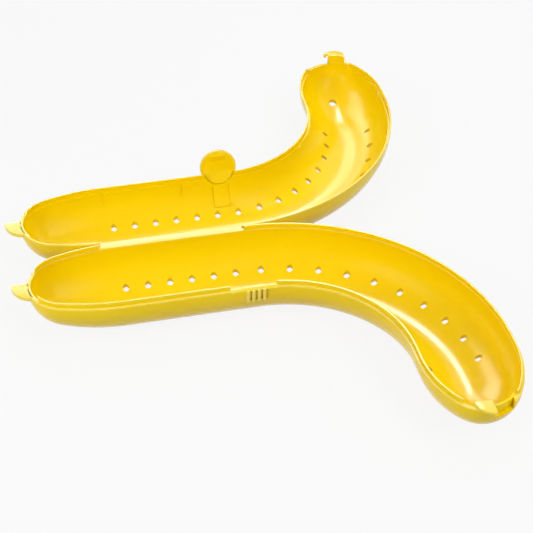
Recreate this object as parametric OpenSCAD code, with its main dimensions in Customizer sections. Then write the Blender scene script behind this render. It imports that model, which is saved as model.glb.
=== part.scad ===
// Curved carrying case: two trough-shaped halves joined by a living hinge, shown lying open.
// Local frame of a half: the bend starts at x = 0, the hinge runs along x at y = 0, the rim is z = 0.
// The base lies at negative y; the lid is its mirror image across the hinge.

/* [Shell] */
// Outer radius of the trough section
tube_r = 23.2; // [20:0.1:28]
// Wall thickness of both halves
wall = 1.8; // [1.5:0.1:2.4]
// Straight wall between the round of the section and the rim
rim_h = 1; // [1:0.1:3]
// Length of the straight run
straight_len = 63.7; // [56:0.1:100]
// Centre-line radius of the right-angle bend
bend_r = 79; // [66:0.5:110]
// Straight run between the bend and the head end
head_len = 5.6; // [2:0.1:20]

/* [Ends] */
// Taper length of the tail end, up to the centre of its nose
tail_taper = 24.6; // [20:0.1:34]
// Nose radius of the tail end
tail_nose = 19.5; // [18:0.1:19.8]
// Taper length of the head end, up to the centre of its nose
head_taper = 18.3; // [16:0.1:28]
// Nose radius of the head end
head_nose = 17.9; // [17:0.1:19.5]

/* [Hinge] */
// Distance between the two rims along the hinge
hinge_gap = 2.1; // [1.8:0.1:4]
// Length of the hinge
hinge_len = 70; // [30:1:70]
// Thickness of the flexing film
film_t = 0.45; // [0.3:0.05:0.6]
// Width of the thin film, across both leaves
film_w = 0.9; // [0.6:0.1:1.4]
// Gap between the rims when the case is shut
rim_gap = 0.2; // [0.1:0.05:0.4]

/* [Lip] */
// Height of the lip above the rim of the base
lip_h = 2.4; // [1:0.1:3]
// Thickness of the lip
lip_t = 0.7; // [0.5:0.1:0.9]
// Clearance between the lip and the rebate of the lid
lip_clear = 0.3; // [0.2:0.05:0.4]
// Length of the break in the lip behind the latch
lip_break = 22; // [20:0.5:28]

/* [Vents] */
// Diameter of a vent hole
vent_d = 3.2; // [1.5:0.1:4]
// Distance of each vent row from the centre line
vent_row = 12.2; // [8:0.1:14]
// Spacing of the vents along the straight run
vent_pitch = 10.9; // [8:0.1:11]
// Number of vents in each row of the straight run
vent_straight = 6; // [3:1:6]
// Number of vents in the inner row of the bend
vent_inner = 9; // [4:1:10]
// Number of vents in the outer row of the bend
vent_outer = 10; // [4:1:12]
// Diameter of the hanging hole at the head end
hang_d = 4.4; // [3:0.1:6]

/* [Latch] */
// Radius of the latch disc
latch_r = 9.5; // [8:0.1:10]
// Thickness of the latch disc
latch_t = 1.8; // [1.4:0.1:2.4]
// Height of the disc centre above the rim
latch_rise = 2; // [1.6:0.1:3.2]
// Outward lean of the free latch, in degrees
latch_lean = 10; // [8:0.5:14]
// Depth of the hook on the latch
hook_d = 1.5; // [1.3:0.1:1.6]
// Thickness of the hook
hook_t = 1.6; // [1:0.1:2]
// Width of the hook
hook_w = 8; // [4:0.5:9]
// Height of the catch ribs
catch_h = 7; // [6.5:0.1:7.2]
// Running clearance around the latch
latch_clear = 0.35; // [0.25:0.05:0.4]

/* [Tabs] */
// Radius of the quarter-round finger tabs
tab_r = 10.5; // [8:0.1:13]
// Thickness of the finger tabs
tab_t = 2.2; // [1.5:0.1:3]
// Offset of each finger tab from the centre line
tab_shift = 2.8; // [1.5:0.1:4]
// Height of the head tab above the rim of the lid
head_tab_h = 4.2; // [3:0.1:5]
// Width of the head tab of the lid
head_tab_w = 8.8; // [6:0.1:9]
// How far the head tabs reach beyond the head end
head_reach = 3; // [1.5:0.1:4]
// Thickness of the head tab of the base
head_plate_t = 1.6; // [1:0.1:2]

/* [Hidden] */
$fn = 96;
eps = 0.01;
// plan positions of one half
axis_y = hinge_gap / 2 + tube_r;
bend_y = axis_y + bend_r;
taper_y = bend_y + head_len;
head_y = taper_y + head_taper;
head_end = head_y + head_nose;
tail_x = -straight_len - tail_taper;
tail_end = tail_x - tail_nose;
// side arcs of the two tapers, tangent to the straight run and to the nose, to two decimals
function side_arc(taper, nose) =
    round(50 * (pow(taper, 2) + pow(tube_r, 2) - pow(nose, 2)) / (tube_r - nose)) / 100;
tail_arc = side_arc(tail_taper, tail_nose);
head_arc = side_arc(head_taper, head_nose);
// the nose stands proud of the side arcs by this much, so that the two cross cleanly
nose_swell = 0.03;
// lip and rebate
skirt_t = wall - lip_t - lip_clear;
rebate_h = lip_h + lip_clear;
lip_stop_tail = 4.6;
lip_stop_head = 6.8;
lip_x = tail_end + lip_stop_tail;
lip_y = -head_end + lip_stop_head;
lip_break_x = -4.2;
// hinge
hinge_x1 = -0.7;
hinge_x0 = hinge_x1 - hinge_len;
leaf_play = 0.03;
axis_z = rim_gap / 2;
// vents
vent_x1 = -6.4;
vent_a0 = 4;
vent_a1 = 85;
hang_set = 19.2;
hang_y = taper_y + hang_set;
// latch and catch
latch_x = -3.2;
latch_notch_r = latch_r - 1.1;
plug_r = latch_notch_r - latch_clear;
plug_tilt = 25;
catch_pad = 0.15;
catch_out = 0.5;
catch_z = -0.5;
catch_pitch = 2.6;
catch_rib_w = 1.2;
catch_root = 4;
catch_edge = 0.3;
catch_play = 0.03;
latch_y = axis_y + tube_r + catch_out + latch_clear;
latch_edge = 0.4;
bead_r = 0.6;
bead_l = 10;
bead_play = 0.1;
bead_drop = 1.2;
bead_z = latch_rise - latch_r - bead_drop;
bead_y = axis_y + sqrt(pow(tube_r, 2) - pow(-bead_z - rim_h, 2));
hook_z = catch_h - catch_z + latch_clear + rim_gap;
// tabs at the head end: the upright tab of the lid stands in a gap cut in the wall of the base
pocket_clear = 0.4;
pocket_wall = 1.3;
pocket_r = head_nose - wall - pocket_clear;
pocket_x0 = bend_r + 0.3;
pocket_side = 0.45;
pocket_w = head_tab_w + 2 * pocket_side;
pocket_h = head_tab_h + 0.5;
head_tab_x = pocket_x0 + pocket_side;
flange_t = 1.4;
flange_r = 6.5;
flange_x = pocket_x0 - 1.9;
flange_y = head_end + head_reach - flange_r;
plate_r = 8;
plate_x = pocket_x0 - 0.2;
plate_y = head_end + head_reach - plate_r;
rim_drop = head_plate_t + 0.3;
rim_drop_x = bend_r - 10.8;
// moulded marks on the far inner wall of the lid: a panel below the latch and two upright lines
mark_w = 0.4;
mark_d = 0.3;
panel_w = 9;
panel_z = -16.5;
line_z = -9.5;
line_x = [-65, -24];
// nibs below the rims
nib_r = 0.8;
nib_h = 1.4;
// finger tab and the nick beside it
tab_bite = 3.3;
nick_r = 1.2;
nick_h = 1.6;
nick_off = 9.2;
// placing of the whole case: centred on the floor
x_left = tail_end + tab_bite - tab_r;
x_right = bend_r + tube_r;
x_shift = -(x_left + x_right) / 2;
z_shift = tube_r + rim_h;

// plan outline of a taper, growing along +y; d is the inset from the outer surface
module taper_2d(taper, nose, arc, d) {
    reach = taper * (arc - d) / (arc - nose);
    intersection() {
        translate([tube_r - arc, 0]) circle(arc - d, $fn = 192);
        translate([arc - tube_r, 0]) circle(arc - d, $fn = 192);
        translate([-tube_r - 1, 0]) square([2 * tube_r + 2, reach]);
    }
    intersection() {
        translate([0, taper]) circle(nose + nose_swell - d);
        translate([-tube_r - 1, 0]) square([2 * tube_r + 2, taper + nose + 1]);
    }
}

module tail_2d(d) {
    translate([-straight_len, -axis_y]) rotate(90) taper_2d(tail_taper, tail_nose, tail_arc, d);
}

module head_2d(d) {
    translate([bend_r, -taper_y]) rotate(180) taper_2d(head_taper, head_nose, head_arc, d);
}

// plan outline of the base, inset by d
module plan_2d(d) {
    r = tube_r - d;
    tail_2d(d);
    translate([-straight_len, -axis_y - r]) square([straight_len, 2 * r]);
    translate([0, -bend_y]) intersection() {
        difference() {
            circle(bend_r + r, $fn = 192);
            circle(bend_r - r, $fn = 192);
        }
        square(bend_r + tube_r + 1);
    }
    translate([bend_r - r, -taper_y]) square([2 * r, head_len]);
    head_2d(d);
}

// lower half of a ring, the section of the round wall
module half_ring_2d() {
    difference() {
        circle(tube_r);
        circle(tube_r - wall);
        translate([-tube_r - 1, 0]) square(2 * tube_r + 2);
    }
}

// right half of the wall of a taper, for turning about its axis
module taper_wall_2d(taper, nose, arc) {
    intersection() {
        difference() {
            taper_2d(taper, nose, arc, 0);
            taper_2d(taper, nose, arc, wall);
        }
        square([tube_r + 1, taper + nose + 1]);
    }
}

// plain wall of the base, without holes or rim details
module trough_wall() {
    translate([0, 0, -rim_h]) {
        linear_extrude(rim_h) difference() {
            plan_2d(0);
            plan_2d(wall);
        }
        translate([-straight_len, -axis_y, 0]) {
            rotate([90, 0, 90]) linear_extrude(straight_len) half_ring_2d();
            rotate([-90, 0, 90]) rotate_extrude(angle = 180)
                taper_wall_2d(tail_taper, tail_nose, tail_arc);
        }
        translate([0, -bend_y, 0]) rotate_extrude(angle = 90) translate([bend_r, 0]) half_ring_2d();
        translate([bend_r, -bend_y, 0]) rotate([90, 0, 0]) linear_extrude(head_len) half_ring_2d();
        translate([bend_r, -taper_y, 0]) rotate([-90, 0, 180]) rotate_extrude(angle = 180)
            taper_wall_2d(head_taper, head_nose, head_arc);
    }
}

// one upright hole through the floor
module vent(x, y, d) {
    translate([x, y, -tube_r - rim_h - 1]) cylinder(d = d, h = tube_r);
}

// one row of vents round the bend
module vent_arc(r, n) {
    for (i = [0:n - 1])
        let (a = vent_a0 + i * (vent_a1 - vent_a0) / (n - 1))
            vent(r * sin(a), r * cos(a) - bend_y, vent_d);
}

module vents() {
    for (side = [-1, 1], i = [0:vent_straight - 1])
        vent(vent_x1 - i * vent_pitch, side * vent_row - axis_y, vent_d);
    vent_arc(bend_r - vent_row, vent_inner);
    vent_arc(bend_r + vent_row, vent_outer);
    vent(bend_r, -hang_y, hang_d);
}

// body of the head end inside the wall, for fitting the pocket into it
module head_nose_fill(d) {
    translate([bend_r, -head_y, -rim_h]) {
        sphere(head_nose - d);
        cylinder(r = head_nose - d, h = rim_h);
    }
}

// upright round column at the centre of the head end
module head_column(r) {
    translate([bend_r, -head_y, -head_nose]) cylinder(r = r, h = 2 * head_nose);
}

// walls round the gap in the head end of the base, which takes the head tab of the lid
module head_pocket() {
    difference() {
        intersection() {
            translate([pocket_x0 - pocket_wall, -head_end, -pocket_h - pocket_wall])
                cube([pocket_w + 2 * pocket_wall, head_nose, pocket_h + pocket_wall]);
            head_nose_fill(wall / 2);
        }
        head_column(pocket_r - pocket_wall);
    }
}

// the gap itself
module head_gap() {
    difference() {
        translate([pocket_x0, -head_end - 1, -pocket_h]) cube([pocket_w, head_nose, 2 * pocket_h]);
        head_column(pocket_r);
    }
}

// small upright bump on an inner wall
module nib(x, y, z) {
    translate([x, y, z - nib_h]) cylinder(r = nib_r, h = nib_h);
}

module base_shell() {
    color("gold") difference() {
        union() {
            trough_wall();
            head_pocket();
            nib(bend_r - tube_r + wall, -bend_y, -nib_h);
            nib(bend_r - tube_r + wall, -taper_y, -nib_h);
        }
        vents();
        head_gap();
        rim_nick(-1);
    }
}

// small nick in the rim beside the finger tab; side is -1 towards the hinge
module rim_nick(side) {
    translate([tail_x - sqrt(pow(tail_nose, 2) - pow(nick_off, 2)), -axis_y - side * nick_off, -nick_h])
        cylinder(r = nick_r, h = 2 * nick_h);
}

// run of the lip, also the run of the rebate when grown by d
module lip_run_2d(d) {
    translate([lip_x - d, lip_y - d]) square([2 * bend_r + straight_len, head_end]);
}

module base_lip() {
    color("khaki") linear_extrude(lip_h) difference() {
        intersection() {
            plan_2d(skirt_t + lip_clear);
            lip_run_2d(0);
        }
        plan_2d(wall);
        translate([hinge_x0 - 0.6, -axis_y]) square([hinge_len + 1.2, axis_y]);
        translate([lip_break_x - lip_break / 2, -bend_y]) square([lip_break, bend_r]);
    }
}

module base_catch() {
    wide = 3 * catch_pitch + catch_rib_w + 2 * catch_edge;
    out_y = -axis_y - tube_r;
    rib_z = catch_z - catch_h;
    color("goldenrod") difference() {
        union() {
            translate([latch_x - wide / 2, out_y - catch_pad, rib_z])
                cube([wide, catch_root, catch_h]);
            for (i = [-1.5:1:1.5])
                translate([latch_x + i * catch_pitch - catch_rib_w / 2, out_y - catch_out, rib_z])
                    cube([catch_rib_w, catch_root, catch_h]);
        }
        translate([-straight_len, -axis_y, -rim_h]) rotate([0, 90, 0])
            cylinder(r = tube_r, h = 2 * straight_len, $fn = 720);
        translate([-straight_len, -axis_y - tube_r, -rim_h])
            cube([2 * straight_len, 2 * tube_r, rim_h + 1]);
        // the wall starts to bend here, so the seat is eased
        translate([0, -axis_y - catch_play, -rim_h]) {
            rotate([0, 90, 0]) cylinder(r = tube_r, h = straight_len, $fn = 720);
            translate([0, -tube_r, 0]) cube([straight_len, tube_r, rim_h + 1]);
        }
    }
}

// quarter-round finger tab; side is -1 for the one that reaches towards the hinge
module finger_tab_2d(side) {
    difference() {
        translate([tail_end + tab_bite, -axis_y + side * tab_shift]) intersection() {
            circle(tab_r);
            translate([-tab_r, side < 0 ? 0 : -tab_r]) square(tab_r);
        }
        tail_2d(0);
    }
}

module base_finger_tab() {
    color("khaki") translate([0, 0, -tab_t]) linear_extrude(tab_t) finger_tab_2d(1);
}

// quarter-round tab lying on the rim at the head end
module base_head_tab() {
    color("khaki") linear_extrude(head_plate_t) translate([plate_x, -plate_y]) intersection() {
        circle(plate_r);
        translate([-plate_r, -plate_r]) square(plate_r);
    }
}

// one leaf of the living hinge, thinned to a film beside the hinge line
module hinge_leaf() {
    module strip(from_y, t) {
        translate([0, 0, -t]) linear_extrude(t) difference() {
            translate([hinge_x0, -axis_y]) square([hinge_len, axis_y - from_y]);
            plan_2d(0);
            translate([hinge_x0 - 1, -2 * axis_y]) square([hinge_len + 2, 1.5 * axis_y]);
        }
    }
    strip(leaf_play, film_t);
    strip(film_w / 2, rim_h);
}

module base_hinge_leaf() {
    color("khaki") hinge_leaf();
}

// shallow groove in the far inner wall of the lid, w wide, from height z1 up to z2
module wall_mark(x, w, z1, z2) {
    intersection() {
        translate([x, -axis_y, -rim_h]) rotate([0, 90, 0]) cylinder(r = tube_r - wall + mark_d, h = w);
        translate([x, -axis_y - tube_r, z1]) cube([w, tube_r, z2 - z1]);
    }
}

module wall_marks() {
    x0 = latch_x - panel_w / 2;
    top = latch_rise - latch_notch_r;
    wall_mark(x0, mark_w, panel_z, top);
    wall_mark(x0 + panel_w - mark_w, mark_w, panel_z, top);
    wall_mark(x0, panel_w, panel_z, panel_z + mark_w);
    for (x = line_x) wall_mark(x, mark_w, line_z, -rebate_h);
}

module lid_shell() {
    color("gold") mirror([0, 1, 0]) difference() {
        union() {
            trough_wall();
            for (side = [-1, 1]) nib(bend_r + side * (tube_r - wall), -taper_y, -rebate_h);
            translate([0, -bend_y, 0]) {
                rotate(-68) nib(0, bend_r + tube_r - wall, -rebate_h);
                rotate(-50) nib(0, bend_r - tube_r + wall, -rebate_h);
            }
        }
        vents();
        wall_marks();
        translate([0, 0, -rebate_h]) linear_extrude(rebate_h + 1) intersection() {
            plan_2d(skirt_t);
            lip_run_2d(lip_clear);
        }
        translate([latch_x, -axis_y, latch_rise]) rotate([90, 0, 0])
            cylinder(r = latch_notch_r, h = 2 * tube_r);
        translate([latch_x - bead_l / 2 - bead_play, -bead_y, bead_z]) rotate([0, 90, 0])
            cylinder(r = bead_r + bead_play, h = bead_l + 2 * bead_play);
        translate([rim_drop_x, -head_end - 1, -rim_drop])
            cube([head_tab_x - rim_drop_x, head_nose / 2, 2 * rim_drop]);
        rim_nick(1);
    }
}

module lid_finger_tab() {
    color("khaki") mirror([0, 1, 0]) translate([0, 0, -tab_t]) linear_extrude(tab_t)
        finger_tab_2d(-1);
}

// upright tab carrying on the wall of the lid, with a half-round flange at its top
module lid_head_tab() {
    color("khaki") mirror([0, 1, 0]) {
        linear_extrude(head_tab_h) intersection() {
            difference() {
                translate([bend_r, -head_y]) circle(head_nose);
                translate([bend_r, -head_y]) circle(head_nose - wall);
            }
            translate([head_tab_x, -head_end]) square([head_tab_w, head_nose]);
        }
        translate([0, 0, head_tab_h - flange_t]) linear_extrude(flange_t) difference() {
            translate([flange_x + flange_r - 1, -flange_y]) intersection() {
                circle(flange_r);
                translate([1 - flange_r, -flange_r])
                    square([head_tab_x + head_tab_w - flange_x, flange_r]);
            }
            translate([bend_r, -head_y]) circle(head_nose - wall);
            intersection() {
                translate([bend_r, -head_y]) circle(head_nose + pocket_clear);
                translate([flange_x - 1, -head_end - head_reach])
                    square([head_tab_x - flange_x + 1, head_nose]);
            }
        }
    }
}

module lid_hinge_leaf() {
    color("khaki") mirror([0, 1, 0]) hinge_leaf();
}

// half section of the latch disc, with chamfered edges
module latch_disc_2d() {
    polygon([[0, 0], [latch_r - latch_edge, 0], [latch_r, latch_edge], [latch_r, latch_t - latch_edge],
        [latch_r - latch_edge, latch_t], [0, latch_t]]);
}

// sloping plug on the inner face of the disc, which fills the notch below the rim
module latch_plug() {
    intersection() {
        translate([0, -latch_y - eps, latch_rise]) rotate([-90, 0, 0])
            cylinder(r = plug_r, h = latch_y - bead_y + wall);
        translate([-latch_r, -latch_y, -latch_clear]) rotate([plug_tilt, 0, 0])
            translate([0, -2 * latch_r, -2 * latch_r]) cube(2 * latch_r);
    }
}

// latch disc with its hook and plug, upright, then leaned outward about the bead at its foot
module latch() {
    color("goldenrod") mirror([0, 1, 0]) translate([latch_x, -bead_y, bead_z]) rotate([latch_lean, 0, 0])
        translate([0, bead_y, -bead_z]) {
            translate([0, -latch_y, latch_rise]) rotate([90, 0, 0]) rotate_extrude() latch_disc_2d();
            translate([-hook_w / 2, -latch_y - eps, hook_z]) cube([hook_w, hook_d, hook_t]);
            latch_plug();
            translate([-bead_l / 2, -bead_y, bead_z]) rotate([0, 90, 0]) cylinder(r = bead_r, h = bead_l);
            translate([-bead_l / 2, -latch_y - latch_t / 2, bead_z - bead_r])
                cube([bead_l, latch_y - bead_y + latch_t / 2, bead_r * 2]);
            translate([-bead_l / 2, -latch_y - latch_t, bead_z - bead_r])
                cube([bead_l, latch_t, latch_r / 3]);
        }
}

translate([x_shift, 0, z_shift]) {
    base_shell();
    base_lip();
    base_catch();
    base_finger_tab();
    base_head_tab();
    base_hinge_leaf();
    lid_shell();
    lid_finger_tab();
    lid_head_tab();
    lid_hinge_leaf();
    latch();
}
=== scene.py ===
"""Looks of the curved carrying case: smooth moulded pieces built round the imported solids."""

import math

import bmesh
import bpy
from bpy.props import FloatProperty, FloatVectorProperty, IntProperty, PointerProperty
from mathutils import Matrix, Vector


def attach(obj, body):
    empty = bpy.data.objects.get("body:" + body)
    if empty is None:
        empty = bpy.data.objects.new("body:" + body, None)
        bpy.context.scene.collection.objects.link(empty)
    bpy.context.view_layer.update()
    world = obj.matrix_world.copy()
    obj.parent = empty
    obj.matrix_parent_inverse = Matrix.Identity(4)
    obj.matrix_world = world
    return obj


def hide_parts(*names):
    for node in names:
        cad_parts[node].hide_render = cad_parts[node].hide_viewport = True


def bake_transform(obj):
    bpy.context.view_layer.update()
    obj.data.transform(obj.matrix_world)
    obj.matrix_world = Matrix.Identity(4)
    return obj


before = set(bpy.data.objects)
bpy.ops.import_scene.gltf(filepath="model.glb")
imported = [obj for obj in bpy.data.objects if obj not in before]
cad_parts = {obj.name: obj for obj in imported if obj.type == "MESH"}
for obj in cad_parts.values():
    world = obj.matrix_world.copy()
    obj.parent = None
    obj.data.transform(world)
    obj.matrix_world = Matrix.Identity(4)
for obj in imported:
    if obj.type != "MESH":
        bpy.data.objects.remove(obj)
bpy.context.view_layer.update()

bl_info = {
    "name": "Curved Carrying Case",
    "version": (1, 0, 0),
    "blender": (4, 5, 0),
    "location": "View3D > Sidebar > Case",
    "description": "Builds the moulded pieces, the plastic and the studio of a curved carrying case",
    "category": "Object",
}

MM = 0.001
X = Vector((1, 0, 0))
Y = Vector((0, 1, 0))
Z = Vector((0, 0, 1))

# points this close count as one, and cutters reach this far past what they cut
MERGE = 0.002 * MM
PAST = 1 * MM
# turn from which an edge is shaded sharp, and from which it counts as a square corner
SHARP = math.radians(38)
SQUARE = math.radians(50)
# turn between two faces of a rounded edge, and the height above which such edges get a painted
# highlight
EDGE_TURN = (math.radians(14), math.radians(50))
EDGE_LOW = 14 * MM

# faces round the half section, along the runs and along the two curves of an end
RING_STEPS = 72
BEND_STEPS = 60
STRAIGHT_STEPS = 12
SIDE_STEPS = 14
NOSE_STEPS = 26
# faces across a rounded edge and along the curve of a tab
ROUND_STEPS = 3
TAB_STEPS = 24
# sides of small bars, holes, discs, and bars that follow the head or the wall
BAR_SIDES = 48
HOLE_SIDES = 40
DISC_SIDES = 96
HEAD_SIDES = 128
WALL_SIDES = 192

# places along the straight run, from the start of the bend
HINGE_END = -0.7 * MM
LATCH_X = -3.2 * MM
LIP_BREAK_X = -4.2 * MM
VENT_START = -6.4 * MM
# distances from the ends: hanging hole, both ends of the lip, corner of a finger tab
HANG_RUN = 19.2 * MM
LIP_TAIL = 4.6 * MM
LIP_HEAD = 6.8 * MM
TAB_SINK = 3.3 * MM
# gap for the upright tab: start beside the centre line and room at each side
POCKET_START = 0.3 * MM
POCKET_SIDE = 0.45 * MM
# the notch of the latch is this much smaller than the disc
NOTCH_INSET = 1.1 * MM

# vents of the bend: first angle and spread in degrees
VENT_FAN = (4, 81)
# the vents widen downward by this share of the depth, from bars that reach this far inside
VENT_DRAFT = 0.05
VENT_ABOVE = 4 * MM
# outward fall of the rim of the base beside the latch, and the run in which it starts
RIM_FALL = 0.7 * MM
RIM_RAMP = 1 * MM
# upright ribs of the catch: places in steps of the pitch, width and both heights
CATCH_PLACES = (-1.5, -0.5, 0.5, 1.5)
CATCH_PITCH = 2.6 * MM
CATCH_RIB = 1.5 * MM
CATCH_HIGH = -0.8 * MM
CATCH_LOW = -7.5 * MM

# lamps that show only as gloss: size and place
SHINE_LAMPS = {
    "back": ((0.45, 0.3), (0.305, 1.06, 0.79)),
    "strip": ((0.16, 0.55), (0.246, 0.758, 1.064)),
    "card": ((0.3, 0.2), (-0.12, 0.27, 0.21)),
    "side": ((0.5, 0.25), (0.57, -0.21, 1.04)),
    "low": ((1.1, 0.7), (-0.3, 1.13, 0.45)),
    "wing": ((1.0, 0.8), (0.9, 0.72, 0.6)),
}
# lamps that fill the shade and leave no gloss: size and place
FILL_LAMPS = {
    "top": ((0.8, 0.8), (0.3, 0.4, 1.1)),
    "left": ((0.4, 0.4), (-0.55, -0.25, 0.4)),
    "right": ((0.4, 0.4), (0.35, -0.42, 0.6)),
    "near": ((0.15, 0.15), (0.19, 0.26, 0.3)),
}
FLOOR_HALF = 6
SENSOR = 36


def length(name, description, millimetres):
    """A size in metres, given in millimetres."""
    return FloatProperty(name=name, description=description, default=millimetres * MM, unit="LENGTH")


def number(name, description, value):
    """A count of two or more."""
    return IntProperty(name=name, description=description, default=value, min=2)


def share(name, description, value):
    """A part of one."""
    return FloatProperty(name=name, description=description, default=value, min=0, max=1)


def power(name, description, watts):
    """The power of a lamp."""
    return FloatProperty(name=name, description=description, default=watts, min=0, unit="POWER")


def colour(name, description, value):
    """A colour with its alpha."""
    return FloatVectorProperty(
        name=name, description=description, default=value, size=4, subtype="COLOR", min=0, max=1
    )


def point(name, description, value):
    """A place in the shared frame, in metres."""
    return FloatVectorProperty(
        name=name, description=description, default=value, subtype="XYZ", unit="LENGTH"
    )


class CaseSizes(bpy.types.PropertyGroup):
    """Sizes of the case, as in the solids."""

    tube_radius: length("Tube radius", "Outer radius of the trough section", 23.2)
    wall: length("Wall", "Wall thickness of both halves", 1.8)
    rim_height: length("Rim height", "Straight wall between the round of the section and the rim", 1)
    straight_run: length("Straight run", "Length of the straight run", 63.7)
    bend_radius: length("Bend radius", "Centre-line radius of the bend", 79)
    head_run: length("Head run", "Straight run between the bend and the head end", 5.6)
    tail_taper: length("Tail taper", "Taper length of the tail end", 24.6)
    tail_nose: length("Tail nose", "Nose radius of the tail end", 19.5)
    head_taper: length("Head taper", "Taper length of the head end", 18.3)
    head_nose: length("Head nose", "Nose radius of the head end", 17.9)
    hinge_gap: length("Hinge gap", "Distance between the two rims along the hinge", 2.1)
    hinge_length: length("Hinge length", "Length of the living hinge", 70)
    lip_height: length("Lip height", "Height of the closing lip above the rim", 2.4)
    lip_thickness: length("Lip thickness", "Thickness of the closing lip", 0.7)
    lip_clearance: length("Lip clearance", "Clearance between the lip and the rebate of the lid", 0.3)
    lip_break: length("Lip break", "Length of the break in the lip behind the latch", 22)
    vent: length("Vent", "Diameter of a vent hole", 3.2)
    vent_row: length("Vent row", "Distance of a vent row from the centre line", 12.2)
    vent_pitch: length("Vent pitch", "Spacing of the vents along the straight run", 10.9)
    vents_straight: number("Straight vents", "Vents in a straight row", 6)
    vents_inner: number("Inner vents", "Vents in the inner row of the bend", 9)
    vents_outer: number("Outer vents", "Vents in the outer row of the bend", 10)
    hang_hole: length("Hanging hole", "Diameter of the hanging hole", 4.4)
    latch_radius: length("Latch radius", "Radius of the latch disc", 9.5)
    latch_thickness: length("Latch thickness", "Thickness of the latch disc", 1.8)
    latch_rise: length("Latch rise", "Height of the latch centre above the rim", 2)
    latch_lean: FloatProperty(
        name="Latch lean",
        description="Outward lean of the free latch",
        default=math.radians(10),
        subtype="ANGLE",
    )
    tab_radius: length("Tab radius", "Radius of the finger tabs", 10.5)
    tab_thickness: length("Tab thickness", "Thickness of the finger tabs", 2.2)
    tab_shift: length("Tab shift", "Offset of a finger tab from the centre line", 2.8)
    head_tab_height: length("Head tab height", "Height of the head tab above the rim of the lid", 4.2)
    head_tab_width: length("Head tab width", "Width of the head tab of the lid", 8.8)
    head_reach: length("Head reach", "How far the head tabs reach beyond the head end", 3)
    head_plate: length("Head plate", "Thickness of the head tab of the base", 1.6)
    rim_round: length("Rim round", "Rounding of the moulded rims", 0.3)
    edge_round: length("Edge round", "Rounding of the tabs", 0.35)


class PlasticLook(bpy.types.PropertyGroup):
    """Colours and finish of the moulded plastic."""

    body: colour("Body", "Main colour of the plastic", (0.95, 0.69, 0.0, 1))
    deep: colour("Deep", "Deeper tone in the flow of the plastic", (0.93, 0.65, 0.0, 1))
    # pale is the tone of the flexed hinge film, and on rounded upper edges a painted highlight
    pale: colour("Pale", "Pale tone of the thin flexed film and of rubbed edges", (0.95, 0.78, 0.22, 1))
    roughness: share("Roughness", "Mean roughness", 0.2)
    glow: share("Glow", "Share of light that travels in the wall", 0.08)


class StudioLook(bpy.types.PropertyGroup):
    """Light, floor and camera."""

    floor: colour("Floor", "Colour of the floor", (0.55, 0.55, 0.55, 1))
    lift: share("Lift", "Share of the floor that is shown plain white", 0.89)
    sky: share("Sky", "Strength of the even light", 0.34)
    back: power("Back", "Power of the lamp behind", 3.2)
    strip: power("Strip", "Power of the slim lamp behind", 12.0)
    card: power("Card", "Power of the small card at the left", 1.2)
    side: power("Side", "Power of the high side lamp", 1.0)
    low: power("Low", "Power of the low lamp behind", 7.5)
    wing: power("Wing", "Power of the wide lamp at the back right", 4.0)
    top: power("Top", "Power of the wide lamp above", 1.6)
    left: power("Left", "Power of the lamp at the left", 2.3)
    right: power("Right", "Power of the lamp at the right", 2.4)
    near: power("Near", "Power of the small lamp over the far head", 0.32)
    eye: point("Eye", "Place of the camera", (-0.0893, -0.49901, 0.42015))
    target: point("Target", "Point that the camera looks at", (0.0112, -0.03262, 0.0242))
    lens: FloatProperty(
        name="Lens", description="Focal length on a 36 mm sensor, in millimetres", default=88.09
    )


class Plan:
    """Places worked out from the sizes, for one half: the rim is z = 0, the hinge is y = 0."""

    def __init__(self, s):
        self.axis_y = s.hinge_gap / 2 + s.tube_radius
        self.bend_y = self.axis_y + s.bend_radius
        self.taper_y = self.bend_y + s.head_run
        self.head_y = self.taper_y + s.head_taper
        self.head_end = self.head_y + s.head_nose
        self.tail_x = -s.straight_run - s.tail_taper
        self.tail_end = self.tail_x - s.tail_nose
        self.hinge_x1 = HINGE_END
        self.hinge_x0 = self.hinge_x1 - s.hinge_length
        self.hang_y = self.taper_y + HANG_RUN
        self.lip_x = self.tail_end + LIP_TAIL
        self.lip_y = -self.head_end + LIP_HEAD
        self.pocket_x0 = s.bend_radius + POCKET_START
        self.head_tab_x = self.pocket_x0 + POCKET_SIDE
        self.notch_radius = s.latch_radius - NOTCH_INSET
        self.tab_x = self.tail_end + TAB_SINK
        low_x = self.tab_x - s.tab_radius
        self.shift = Vector((-(low_x + s.bend_radius + s.tube_radius) / 2, 0, 0))
        self.shift.z = s.tube_radius + s.rim_height


def verts_of(geom):
    """The points in a mixed list."""
    return [g for g in geom if isinstance(g, bmesh.types.BMVert)]


def edges_of(geom):
    """The edges in a mixed list."""
    return [g for g in geom if isinstance(g, bmesh.types.BMEdge)]


def turn(bm, geom, centre, axis, angle, steps):
    """Sweeps geometry round an axis and returns what stands at the far end."""
    swept = bmesh.ops.spin(bm, geom=geom, cent=centre, axis=axis, angle=angle, steps=steps)
    return swept["geom_last"]


def pull(bm, edges, reach, steps=1):
    """Draws edges out along a straight run and returns the far edges."""
    for _ in range(steps):
        made = bmesh.ops.extrude_edge_only(bm, edges=edges)["geom"]
        far = set(verts_of(made))
        bmesh.ops.translate(bm, verts=list(far), vec=reach / steps)
        edges = [e for e in edges_of(made) if far.issuperset(e.verts)]
    return edges


def raise_faces(bm, reach):
    """Makes a flat sheet into a solid by drawing it up."""
    made = bmesh.ops.extrude_face_region(bm, geom=bm.faces[:], use_keep_orig=True)["geom"]
    bmesh.ops.translate(bm, verts=verts_of(made), vec=reach)
    bmesh.ops.recalc_face_normals(bm, faces=bm.faces[:])


def round_edges(bm, edges, offset):
    """Rounds edges by a small bevel."""
    bmesh.ops.bevel(
        bm, geom=edges, offset=offset, offset_type="OFFSET", segments=ROUND_STEPS, profile=0.5,
        affect="EDGES", clamp_overlap=True, material=-1,
    )


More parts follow.
